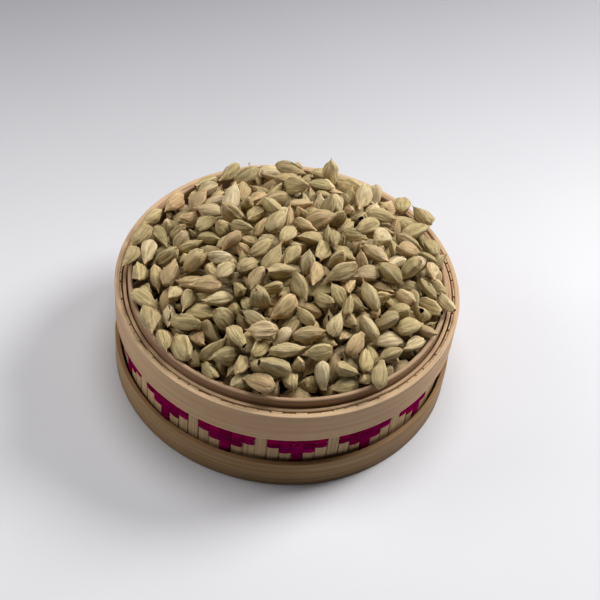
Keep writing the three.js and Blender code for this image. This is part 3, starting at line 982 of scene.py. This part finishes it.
def add_marks(pod, kind):
    """Stores at each point its place on the straight pod, how far along the pod it is, whether
    it is on a corner, and whether it is deep in a hollow."""
    count = len(pod.data.vertices)
    spot = np.empty(3 * count)
    pod.data.vertices.foreach_get("co", spot)
    spot = spot.reshape(-1, 3)
    along = spot[:, 2] / MODEL_LENGTH + 0.5
    hollow = np.zeros(count)
    if kind["name"] == "open":
        rings_outside = len(kind["tail"] + BODY) + MOUTH_END.index(max(MOUTH_END)) + 1
        hollow[POD_SIDES * rings_outside:] = 1
    if kind["name"] == "split":
        reach = np.hypot(spot[:, 0], spot[:, 1])
        hollow[(reach < 0.45 * MODEL_RADIUS) & (np.abs(along - 0.5) < SPLIT_REACH)] = 1
    store(pod, "spot", spot, "FLOAT_VECTOR")
    store(pod, "along", along)
    store(pod, "corner", [on_line(vertex, 0) for vertex in pod.data.vertices])
    store(pod, "hollow", hollow)


def grow_pod(kind, number):
    """A straight pod, standing on its tail, with its corners and creases."""
    body = [(place, girth ** kind["fullness"]) for place, girth in BODY]
    stations = kind["tail"] + body + kind["end"]
    let_go()
    bpy.ops.mesh.primitive_circle_add(
        vertices=POD_SIDES, radius=stations[0][1] * MODEL_RADIUS, location=(0, 0, -0.5 * MODEL_LENGTH))
    pod = bpy.context.object
    pod.name = f"{kind['name']}_model_{number}"
    apply_place(pod)
    bpy.ops.object.mode_set(mode="EDIT")
    bpy.ops.mesh.select_all(action="SELECT")
    grow_rings(stations)
    bpy.ops.mesh.edge_face_add()
    pick(pod, "VERT", lambda v: v.co.z < 0.01 * MM - 0.5 * MODEL_LENGTH)
    bpy.ops.mesh.edge_face_add()
    bpy.ops.mesh.select_all(action="SELECT")
    bpy.ops.mesh.normals_make_consistent(inside=False)
    for line, share in CORNER_PROFILE.items():
        swell_line(pod, line, share * kind["corner"])
    if kind["name"] == "split":
        split_corner(pod)
    let_go()
    return pod


def pod_model(kind, number):
    """A pod that is flattened, twisted, bent and wrinkled in its own way."""
    pod = grow_pod(kind, number)
    pod.scale.y = form_draws.between(0.82, 1.0)
    apply_place(pod)
    add_marks(pod, kind)
    apply_modifier(pod, "SIMPLE_DEFORM", deform_method="TWIST", deform_axis="Z",
                   angle=math.radians(form_draws.between(-40, 40)))
    apply_modifier(pod, "SIMPLE_DEFORM", deform_method="BEND", deform_axis="X",
                   angle=math.radians(form_draws.between(-32, 32)))
    # the clouds lie still in space, so another place gives this pod its own lumps
    pod.location.x = form_draws.between(0, 1)
    apply_modifier(pod, "DISPLACE", texture=clouds("pod_lumps", form_draws.between(3.5, 5.5) * MM),
                   texture_coords="GLOBAL", mid_level=0.6, strength=kind["lumps"] * MM)
    apply_modifier(pod, "DISPLACE", texture=clouds("pod_wrinkles", form_draws.between(1.0, 1.8) * MM),
                   texture_coords="GLOBAL", mid_level=0.5, strength=0.35 * kind["lumps"] * MM)
    take(pod)
    bpy.ops.object.shade_smooth()
    return pod


models = {}
for kind in KINDS:
    models[kind["name"]] = [pod_model(kind, number) for number in range(kind["models"])]
print("pod models:", {name: triangles(group[0]) for name, group in models.items()})

# %% [markdown]
# ## The pods in the dish
#
# Every pod of the heap is a copy of one of the models, with its own mesh, scaled to its own
# length and girth, rolled about its axis and laid from its tail to its tip. Each copy also keeps
# three numbers that its finish reads: how tan, how pale and how bright it is. The copies of a
# kind are joined to one piece.

# %% Laying the pods
# a pod's body is a little slimmer than its beads, and its tips reach past them
SLIMNESS = 0.92
OVERLENGTH = 1.06
look_draws = Draws(31)


def choose_kind():
    draw = look_draws.between(0, 1)
    for kind in KINDS:
        draw -= kind["share"]
        if draw < 0:
            return kind["name"]
    return KINDS[0]["name"]


def choose_tone():
    """(tan, pale, bright) of one pod: most are green, some are tan and a few are bleached."""
    tan = look_draws.between(0, 1) ** 2.5
    pale = look_draws.between(0, 1) ** 7
    bright = look_draws.between(0.8, 1.12)
    return tan, pale, bright


def hold_inside(pod):
    """Shifts a pod that stands out of the solids' box back into it."""
    points = np.array([pod.matrix_world @ vertex.co for vertex in pod.data.vertices])
    upwards = np.maximum(np.array(cad_box[0]) - points.min(0), 0)
    downwards = np.minimum(np.array(cad_box[1]) - points.max(0), 0)
    pod.matrix_world = Matrix.Translation(upwards + downwards) @ pod.matrix_world


def lay_pod(model, tail, tip, length, radius, roll):
    copy = model.copy()
    copy.data = model.data.copy()
    bpy.context.scene.collection.objects.link(copy)
    axis = Vector(tip - tail).normalized()
    turn = Vector((0, 0, 1)).rotation_difference(axis).to_matrix().to_4x4()
    girth = SLIMNESS * radius * MM / MODEL_RADIUS
    stretch = Matrix.Diagonal((girth, girth, OVERLENGTH * length * MM / MODEL_LENGTH, 1))
    middle = Matrix.Translation(Vector(0.5 * (tail + tip)) * MM)
    copy.matrix_world = middle @ turn @ Matrix.Rotation(roll, 4, "Z") @ stretch
    mesh = copy.data
    store(copy, "tone", choose_tone(), "FLOAT_VECTOR")
    spot = np.empty(3 * len(mesh.vertices), np.float32)
    mesh.attributes["spot"].data.foreach_get("vector", spot)
    shift = [look_draws.between(0, 1) for _ in range(3)]
    spot = spot.reshape(-1, 3) + np.array(shift, np.float32)
    mesh.attributes["spot"].data.foreach_set("vector", spot.ravel())
    hold_inside(copy)
    return copy


laid = {kind["name"]: [] for kind in KINDS}
for pod in zip(*settled):
    name = choose_kind()
    model = models[name][len(laid[name]) % len(models[name])]
    laid[name].append(lay_pod(model, *pod))
for group in models.values():
    for model in group:
        bpy.data.objects.remove(model)

# %% [markdown]
# ## The husk
#
# The husk is dry and papery, matt khaki green, with fine pale fibres along the pod and darker
# lines between them. Between its fine ribs it is painted darker, as painted shade in the
# valleys. Its corners are painted paler, partly their own paler seam and partly a painted
# highlight along the ridge. Both ends turn tan, and where a pod is open, the inside is nearly
# black. The fibres follow each pod because the noise reads the place that each point had on its
# straight model, stretched along the pod.

# %% The husk finish
HOLLOW_COLOUR = (0.012, 0.008, 0.005, 1)


def husk():
    finish = Finish("cardamom_husk")
    spot = finish.attribute("spot").outputs["Vector"]
    tone = finish.add("SeparateXYZ", {0: finish.attribute("tone").outputs["Vector"]})
    along = finish.attribute("along").outputs["Fac"]
    fibre = finish.noise(finish.scaled(spot, (1500, 1500, 110)), 1.0, 3.0, roughness=0.6)
    rib = finish.noise(finish.scaled(spot, (620, 620, 45)), 1.0, 1.0)
    blotch = finish.noise(spot, 260, 3.0)
    grain = finish.spread(fibre, 0.3, 0.7)
    green = finish.mix(grain, srgb(155, 136, 91), srgb(203, 184, 135))
    tan = finish.mix(grain, srgb(174, 141, 98), srgb(212, 181, 138))
    pale = finish.mix(grain, srgb(208, 186, 142), srgb(236, 218, 180))
    tan_share = finish.maths("ADD", tone.outputs[0], finish.spread(blotch, 0.35, 0.75, -0.25, 0.35))
    colour = finish.mix(finish.spread(tan_share, 0.1, 1.0), green, tan)
    colour = finish.mix(tone.outputs[1], colour, pale)
    # painted shade: the husk is darker in the valleys between its ribs
    rib_shade = finish.spread(rib, 0.34, 0.5, 0.36, 0.0)
    colour = finish.mix(rib_shade, colour, srgb(96, 78, 44))
    # the corners' own paler seam, and a painted highlight along the ridge
    seam_and_highlight = finish.spread(finish.attribute("corner").outputs["Fac"], 0.55, 0.95, 0.0, 0.45)
    colour = finish.mix(seam_and_highlight, colour, srgb(228, 208, 160))
    colour = finish.mix(finish.spread(along, 0.82, 0.94, 0.0, 0.7), colour, srgb(214, 180, 136))
    colour = finish.mix(finish.spread(along, 0.965, 1.0, 0.0, 0.75), colour, srgb(120, 84, 58))
    colour = finish.mix(finish.spread(along, 0.06, 0.02, 0.0, 0.8), colour, srgb(142, 106, 72))
    bright = tone.outputs[2]
    grey = finish.add("CombineXYZ", {0: bright, 1: bright, 2: bright}).outputs[0]
    colour = finish.mix(1.0, colour, grey, "MULTIPLY")
    hollow = finish.spread(finish.attribute("hollow").outputs["Fac"], 0.1, 0.75)
    colour = finish.mix(hollow, colour, HOLLOW_COLOUR)
    relief = finish.maths("ADD", fibre, finish.maths("MULTIPLY", rib, 2.0))
    return finish.done(Base_Color=colour, Roughness=0.75, Specular_IOR_Level=0.25,
                       Normal=finish.bump(relief, 0.4 * MM, 0.8))


husk_finish = husk()
for name, copies in laid.items():
    finish_piece(join(copies, f"{name}_pods"), husk_finish, "cardamom_pods", "cardamom_heap")

# %% [markdown]
# ## The core of the heap
#
# Only the upper layers of pods are made one by one. Below them lies a core that fills the box:
# a drum whose top is inset and raised ring by ring to a dome, then made bumpy by a texture with
# lumps of a pod's size. It shows only as a dark floor between the pods.

# %% The core of the heap
CORE_DEPTH = 10.0
CORE_CLEARANCE = 0.8
CORE_RINGS = 8
BUMP_SIZE = 7 * MM
BUMP_HEIGHT = 3.5 * MM


def dome_height(ring):
    """How far the dome rises above its edge at a ring, counted inwards."""
    return HEAP_RISE * MM * (1 - (1 - ring / CORE_RINGS) ** 2)


def heap_core():
    heap_low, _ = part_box("cardamom_heap")
    radius = (HEAP_RADIUS - CORE_CLEARANCE) * MM
    top = (HEAP_EDGE - CORE_DEPTH) * MM
    let_go()
    bpy.ops.mesh.primitive_cylinder_add(
        vertices=64, radius=radius, depth=top - heap_low.z, location=(0, 0, (top + heap_low.z) / 2))
    core = bpy.context.object
    core.name = "heap_core"
    apply_place(core)
    bpy.ops.object.mode_set(mode="EDIT")
    pick(core, "FACE", lambda f: f.normal.z > 0.9)
    for ring in range(1, CORE_RINGS):
        bpy.ops.mesh.inset(thickness=radius / CORE_RINGS)
        bpy.ops.transform.translate(value=(0, 0, dome_height(ring) - dome_height(ring - 1)))
    bpy.ops.mesh.poke()
    pick(core, "FACE", lambda f: f.calc_center_median().z > top - 1 * MM)
    bpy.ops.mesh.subdivide(number_cuts=1)
    let_go()
    apply_modifier(core, "DISPLACE", texture=clouds("heap_bumps", BUMP_SIZE),
                   strength=BUMP_HEIGHT, mid_level=1.0, direction="Z")
    return core


# %% [markdown]
# The core is dressed as what lies deep between the pods: the same dried husk, in the dark.

# %% The core's finish
deep = Finish("deep_husk")
deep_noise = deep.noise(deep.object_place(), 300, 3.0)
deep_colour = deep.mix(deep.spread(deep_noise, 0.35, 0.65), srgb(34, 26, 12), srgb(66, 54, 30))
core_finish = deep.done(Base_Color=deep_colour, Roughness=0.85, Normal=deep.bump(deep_noise, 1 * MM))
finish_piece(heap_core(), core_finish, "cardamom_pods", "cardamom_heap")
